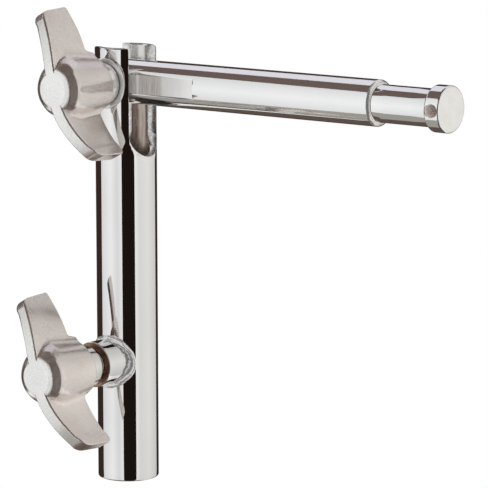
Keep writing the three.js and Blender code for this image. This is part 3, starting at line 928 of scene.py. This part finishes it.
def buildBolt(look, height):
    seat, rim, head, shank, end = look["seat"], look["rim"], look["head"], look["shank"], look["end"]
    profile = [(look["headTop"], -seat - look["headHigh"])]
    profile += arc(0, -seat - rim, head, range(-80, 1, 8), look["headHigh"] - rim)
    profile += [(head, -seat - look["rimBreak"]), (head - look["rimBreak"], -seat), (shank, -seat),
                (shank, end - look["endBreak"]), (look["tip"], end)]
    places, faces = turnedSolid(profile, look["sides"], (0, 0, height))
    start = len(places)
    places += [(x, y, height + z) for y in (look["neckEnd"], seat + look["neckSunk"])
               for x, z in ((-shank, -shank), (shank, -shank), (shank, shank), (-shank, shank))]
    faces += [tuple(start + i for i in corners) for corners in
              ((0, 1, 2, 3), (7, 6, 5, 4), (0, 4, 5, 1), (1, 5, 6, 2), (2, 6, 7, 3), (3, 7, 4, 0))]
    makePiece("clamp_bolt", places, faces, [clampSteel], "receiver", "pivot_bolt")


buildBolt(boltLook, seats["hinge"])
print("steel parts made")

# Boss and its weld bead
bossLook = {
    "radius": 8.2, "face": 19.4, "edge": 0.45, "bore": 5.2, "boreEdge": 0.5, "sink": 0.5, "sides": 96,
    "start": 14.0, "middle": 17.0, "faceSlack": 0.09, "boreSlack": 0.4,
}
weldLook = {
    "radius": 8.2, "steps": 220, "sides": 22, "sharp": 80, "lumps": 0.396, "around": 2.1, "along": 0.55,
    "waves": ((1, 1.3), (0.4, 3.3)),  # height and fineness
    "sizes": [(0, 2.0), (45, 1.55), (90, 1.25), (150, 1.15), (225, 1.3), (290, 1.6), (330, 1.9),
              (360, 2.0)],
}


def onTube(x):  # distance of the tube's front from its axis, beside the middle
    return math.sqrt(tubeLook["outer"] ** 2 - x * x)


def buildBoss(look, height):
    radius, face, edge, bore = look["radius"], look["face"], look["edge"], look["bore"]
    sides, chamfer = look["sides"], look["boreEdge"]

    def saddle(size):  # a ring that follows the tube's round
        return [(x, -onTube(x) + look["sink"], z) for x, _, z in ring(size, 0, sides, (0, 0, height))]

    profile = [(radius, look["start"]), (radius, look["middle"])]
    profile += arc(radius - edge, face - edge, edge, range(0, 91, 15))
    profile += [(bore + chamfer, face), (bore, face - chamfer), (bore, look["start"])]
    places = saddle(radius) + rings(profile, sides, (0, 0, height)) + saddle(bore)
    faces = ringFaces(len(profile) + 2, sides, closed=True)
    marks = []
    for corners in faces:
        x, y, z = faceCentre(places, corners)
        onFace = -y > face - look["faceSlack"] or math.hypot(x, z - height) < bore + look["boreSlack"]
        marks.append(1 if onFace else 0)
    # the faced end and the bore's mouth take the dark brown painted shade
    makePiece("side_boss", places, faces, [bossChrome, shadedFaceSteel], "receiver", "lock_boss",
              marks=marks)


def buildWeld(look, height):
    steps, sides, radius = look["steps"], look["sides"], look["radius"]
    places = []
    for i in range(steps):
        turn = 2 * math.pi * i / steps
        outward = Vector((math.cos(turn), 0, math.sin(turn)))
        x = radius * math.cos(turn)
        lean = Vector((x, -onTube(x), 0)).normalized()
        size = stops(look["sizes"], math.degrees(turn))
        for k in range(sides):
            around = 2 * math.pi * k / sides
            spot = Vector((math.cos(turn) * look["around"], math.sin(turn) * look["around"],
                           around * look["along"]))
            ripple = sum(high * noise.noise(spot * fine) for high, fine in look["waves"])
            grown = size + look["lumps"] * ripple
            place = Vector((x, -onTube(x), radius * math.sin(turn)))
            place += outward * (grown * math.cos(around))
            place += lean * (grown * math.sin(around))
            places.append((place.x, place.y, place.z + height))
    makePiece("weld_bead", places, ringFaces(steps, sides, closed=True), [weldChrome], "receiver",
              "boss_weld", look["sharp"])


buildBoss(bossLook, seats["screw"])
buildWeld(weldLook, seats["screw"])
print("boss and weld made")

# Studio: a pale floor below the part, and cards that only the metal's reflections see
stageLook = {
    "floorHeight": -2.5, "floorSize": 60.0, "floorTone": (0.93, 0.93, 0.925), "mottleTone": 0.985,
    "mottleSize": 3, "mottleDetail": 2, "shadowNear": 0.7, "shadowFar": 1.8, "lightStrength": 0.85,
}


def whiteForView(tree):
    path = addNode(tree, "ShaderNodeLightPath")
    seen = maths(tree, "MAXIMUM", path.outputs["Is Camera Ray"], path.outputs["Is Glossy Ray"])
    return maths(tree, "MAXIMUM", seen, path.outputs["Is Transmission Ray"])


def buildWorld(look):
    world = bpy.data.worlds.new("studio")
    scene.world = world
    world.use_nodes = True
    tree = world.node_tree
    background = tree.nodes["Background"]
    background.inputs["Color"].default_value = (1, 1, 1, 1)
    strength = spread(tree, whiteForView(tree), look["lightStrength"], 1.0, 0, 1)
    tree.links.new(strength, background.inputs["Strength"])


def buildFloor(look):
    def surface(tree):
        place = objectPlace(tree)
        mottle = grain(tree, place, look["mottleSize"], look["mottleDetail"])
        dark = tuple(look["mottleTone"] * c for c in look["floorTone"])
        tone = tones(tree, mottle, dark, look["floorTone"])
        matte = addNode(tree, "ShaderNodeBsdfDiffuse", {"Color": tone})
        glow = addNode(tree, "ShaderNodeEmission", {"Color": (1, 1, 1, 1), "Strength": 1.0})
        far = spread(tree, vectorMaths(tree, "LENGTH", place), 0, 1, look["shadowNear"], look["shadowFar"])
        share = maths(tree, "MULTIPLY", far, whiteForView(tree))
        inputs = {0: share, 1: matte.outputs[0], 2: glow.outputs[0]}
        return addNode(tree, "ShaderNodeMixShader", inputs).outputs[0]

    size, z = look["floorSize"], look["floorHeight"]
    corners = [(-size, -size, z), (size, -size, z), (size, size, z), (-size, size, z)]
    floor = newObject("floor", corners, [(0, 1, 2, 3)], [plainMaterial("floor", surface)])


# Angles are degrees: azimuths to the right of the camera's, rises above level. A card's linear
# tone is its tint times what its two tables give at an azimuth and a rise
cardLook = {
    "card_left": {
        "azimuths": (-107, -16), "rises": (-41, 44), "tint": (1, 1.005, 1),
        "byAzimuth": [(-106, 0.80), (-60, 0.97), (-34, 0.79), (-17, 0.93)],
        "byRise": [(-40, 0.9), (0, 1.02), (44, 0.88)],
    },
    "card_right": {
        "azimuths": (32.5, 137), "rises": (-41, 60), "tint": (1, 0.985, 0.955),
        "byAzimuth": [(33, 1.02), (50, 0.84), (88, 0.91), (136, 0.72)],
        "byRise": [(-40, 0.8), (0, 1.0), (30, 0.83), (60, 0.84)],
    },
    "card_front": {"azimuths": (-16, 32.5), "rises": (-70, 62), "tint": (0.012, 0.0075, 0.0055)},
    "card_behind": {"azimuths": (137, 253), "rises": (-30, 32), "tint": (0.038, 0.024, 0.018)},
    "card_gap": {"azimuths": (-139, -16), "rises": (44.5, 62), "tint": (0.125, 0.085, 0.074)},
    "card_top": {"azimuths": (-180, 180), "rises": (62.5, 89.5), "tint": (0.06, 0.042, 0.036)},
    "card_haze": {"azimuths": (137, 221), "rises": (33, 62), "tint": (0.78, 0.76, 0.815)},
    "card_low": {"azimuths": (-137, -16), "rises": (-60, -41.5), "tint": (0.34, 0.32, 0.29)},
    "card_low_behind": {"azimuths": (137, 223), "rises": (-60, -30), "tint": (0.095, 0.066, 0.05)},
    "card_under": {"azimuths": (-180, 180), "rises": (-89, -60), "tint": (0.095, 0.066, 0.05)},
}
cardSheet = {"distance": 2.2, "height": 0.1, "across": 40, "up": 16}


def cardSurface(tree):
    tone = addNode(tree, "ShaderNodeAttribute", attribute_name="tone")
    glow = addNode(tree, "ShaderNodeEmission", {"Color": tone.outputs["Color"], "Strength": 1.0})
    return glow.outputs[0]


def addCard(name, look, sheet):
    across, up, distance = sheet["across"], sheet["up"], sheet["distance"]
    places, faces, colours = [], [], []
    for row in range(up + 1):
        rise = math.radians(between(*look["rises"], row / up))
        for k in range(across + 1):
            azimuth = between(*look["azimuths"], k / across)
            turn = math.radians(azimuth + cameraLook["azimuth"])
            places.append((distance * math.sin(turn) * math.cos(rise),
                           -distance * math.cos(turn) * math.cos(rise),
                           distance * math.sin(rise) + sheet["height"]))
            level = 1
            if "byAzimuth" in look:
                level = stops(look["byAzimuth"], azimuth) * stops(look["byRise"], math.degrees(rise))
            colours.append([level * part for part in look["tint"]])
    for row in range(up):
        for k in range(across):
            a = row * (across + 1) + k
            faces.append((a, a + 1, a + across + 2, a + across + 1))
    card = newObject(name, places, faces, [plainMaterial(name, cardSurface)])
    layer = card.data.color_attributes.new("tone", "FLOAT_COLOR", "POINT")
    for i, colour in enumerate(colours):
        layer.data[i].color = (*colour, 1)
    card.visible_camera = card.visible_diffuse = card.visible_shadow = False
    card.visible_transmission = card.visible_volume_scatter = False


buildWorld(stageLook)
buildFloor(stageLook)
for cardName, card in cardLook.items():
    addCard(cardName, card, cardSheet)
print("studio made")
